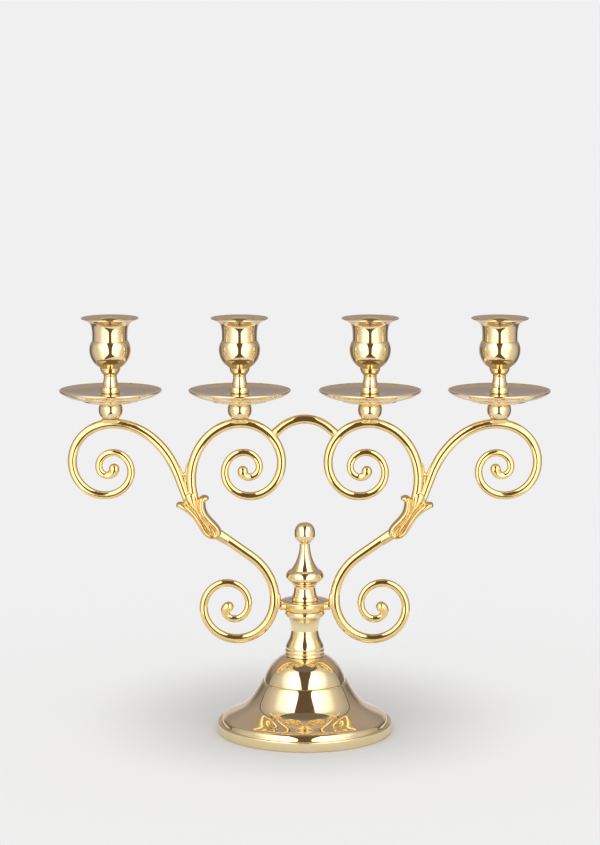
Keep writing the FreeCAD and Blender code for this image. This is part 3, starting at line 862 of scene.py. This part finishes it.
def tent_material():
    """The white cloth in front and at the sides, the grey cloth behind, and the opening at the camera."""
    material, tree = empty_material("tent_cloth")
    place = add_node(tree, "ShaderNodeTexCoord")
    split = add_node(tree, "ShaderNodeSeparateXYZ", {"Vector": place.outputs["Object"]})
    aside = maths(tree, "ABSOLUTE", split.outputs["X"])
    front = maths(tree, "MULTIPLY", split.outputs["Y"], -1.0)
    angle = maths(tree, "MULTIPLY", maths(tree, "ARCTAN2", aside, front), math.degrees(1))
    height = maths(tree, "DIVIDE", split.outputs["Z"], MM)

    behind = step(tree, angle, SEAM_ANGLE - SEAM_FOLD / 2, SEAM_ANGLE + SEAM_FOLD / 2, 0.0, 1.0)
    walls = mixed(tree, behind, white_cloth(tree, angle, height), grey_cloth(tree, angle, height))
    above = step(tree, height, OPENS_ABOVE, CLOTH_TOP, OPENING, OPENING_TOP)
    below = step(tree, height, OPEN_LOW, OPENS_BELOW, OPENING_BOTTOM, OPENING)
    past_opening = maths(tree, "SUBTRACT", angle, maths(tree, "MAXIMUM", above, below))
    hung = step(tree, past_opening, -OPENING_BLUR, OPENING_BLUR, 0.0, 1.0)
    seen = mixed(tree, hung, DARK_ROOM, walls)
    light = add_node(tree, "ShaderNodeEmission", {"Color": seen})
    add_node(tree, "ShaderNodeOutputMaterial", {"Surface": light.outputs["Emission"]})
    return material


def roof_material():
    """The grey roof of the tent, lighter towards the back."""
    material, tree = empty_material("tent_roof")
    place = add_node(tree, "ShaderNodeTexCoord")
    split = add_node(tree, "ShaderNodeSeparateXYZ", {"Vector": place.outputs["Object"]})
    strength = step(tree, split.outputs["Y"], ROOF_DIM * MM, ROOF_BRIGHT * MM, ROOF_FRONT, ROOF_BACK)
    light = add_node(tree, "ShaderNodeEmission", {"Color": (*ROOF_CLOTH, 1), "Strength": strength})
    add_node(tree, "ShaderNodeOutputMaterial", {"Surface": light.outputs["Emission"]})
    return material


def only_mirrored(stage_object):
    """Seen in the brass, but not by the camera and throwing no light or shadow on the table."""
    stage_object.visible_camera = False
    stage_object.visible_diffuse = False
    stage_object.visible_shadow = False


bm = bmesh.new()
pole = [bm.verts.new((0, -TENT_RADIUS * MM, z * MM)) for z in (CLOTH_BOTTOM, ROOF_HEIGHT)]
pole.append(bm.edges.new(pole))
bmesh.ops.spin(bm, geom=pole, cent=(0, 0, 0), axis=(0, 0, 1), angle=2 * math.pi, steps=TENT_PANELS,
               use_merge=True)
only_mirrored(finish_mesh(bm, "tent_walls", tent_material()))

bm = bmesh.new()
bmesh.ops.create_circle(bm, cap_ends=True, segments=TENT_PANELS, radius=TENT_RADIUS * MM,
                        matrix=Matrix.Translation((0, 0, ROOF_HEIGHT * MM)))
only_mirrored(finish_mesh(bm, "tent_roof", roof_material()))
print("tent in place")

# %% [markdown]
# ## Table and backdrop
#
# The table and backdrop are one pale seamless paper. The brass mirrors only the paper near the foot, so
# that part is a second disc just under the first, which the camera doesn't see. A broad overhead light
# gives some soft shade round the foot and is kept out of the mirror images. The paper also glows evenly
# except in an ellipse round the foot, so a broad, soft painted shadow lies round and behind it.

# %% Table and backdrop
PAPER_NEAR = 340.0      # radius of the part that the brass mirrors
PAPER_UNDER = 0.05      # how far it lies under the rest
PAPER_FAR = 400000.0    # radius of the rest, which reaches the horizon
PAPER_GREY = (0.6, 0.6, 0.6, 1)
PAPER_PAINTED_LIGHT = 0.21       # painted light: an even glow on the paper, left out round the foot as a painted shadow
PAINTED_SHADOW_WIDE = 170.0      # half the width of the painted shadow round the foot
PAINTED_SHADOW_LONG = 200.0      # and half its length
PAINTED_SHADOW_BACK = 40.0       # its middle lies this far behind the foot
PAINTED_SHADOW_CORE = 0.25       # share of it that is evenly dark
LIGHT_SPREAD = 75       # degrees that the overhead light spans
LIGHT_TILT = 14         # degrees that it leans towards the camera
LIGHT_ENERGY = 0.72
ROOM_GREY = (0.88, 0.88, 0.88, 1)


def paper_material():
    """Matt white paper with an even painted glow that is left out round the foot, as a painted shadow."""
    material, tree = empty_material("paper_with_painted_shadow")
    matt = add_node(tree, "ShaderNodeBsdfDiffuse", {"Color": PAPER_GREY})
    place = add_node(tree, "ShaderNodeTexCoord")
    painted_shadow_ellipse = add_node(tree, "ShaderNodeMapping", {"Vector": place.outputs["Object"],
                                                "Location": (0, -PAINTED_SHADOW_BACK / PAINTED_SHADOW_LONG, 0),
                                                "Scale": (1000 / PAINTED_SHADOW_WIDE, 1000 / PAINTED_SHADOW_LONG, 1)})
    away = add_node(tree, "ShaderNodeVectorMath", {0: painted_shadow_ellipse.outputs["Vector"]}, operation="LENGTH")
    # painted light: the glow fades to nothing towards the foot, which paints the shadow round it
    glow = step(tree, away.outputs["Value"], PAINTED_SHADOW_CORE, 1.0, 0.0, PAPER_PAINTED_LIGHT)
    light = add_node(tree, "ShaderNodeEmission", {"Color": (1, 1, 1, 1), "Strength": glow})
    both = add_node(tree, "ShaderNodeAddShader")
    tree.links.new(matt.outputs["BSDF"], both.inputs[0])
    tree.links.new(light.outputs["Emission"], both.inputs[1])
    add_node(tree, "ShaderNodeOutputMaterial", {"Surface": both.outputs["Shader"]})
    return material


def paper_disc(name, radius, height, material):
    bm = bmesh.new()
    bmesh.ops.create_circle(bm, cap_ends=True, segments=128, radius=radius * MM,
                            matrix=Matrix.Translation((0, 0, height * MM)))
    disc = finish_mesh(bm, name, material)
    return disc


paper = paper_material()
near = paper_disc("paper_near", PAPER_NEAR, -PAPER_UNDER, paper)
near.visible_camera = False
near.visible_shadow = False
far = paper_disc("paper_far", PAPER_FAR, 0.0, paper)
far.visible_glossy = False
far.visible_diffuse = False
far.visible_shadow = False

lamp_data = bpy.data.lights.new("overhead", "SUN")
lamp_data.angle = math.radians(LIGHT_SPREAD)
lamp_data.energy = LIGHT_ENERGY
lamp = bpy.data.objects.new("overhead", lamp_data)
lamp.rotation_euler = (math.radians(LIGHT_TILT), 0, 0)
lamp.visible_glossy = False
bpy.context.scene.collection.objects.link(lamp)

world = bpy.data.worlds.new("room")
world.use_nodes = True
background = world.node_tree.nodes["Background"]
background.inputs["Color"].default_value = ROOM_GREY
background.inputs["Strength"].default_value = 1.0
bpy.context.scene.world = world
print("paper, lamp and room in place")
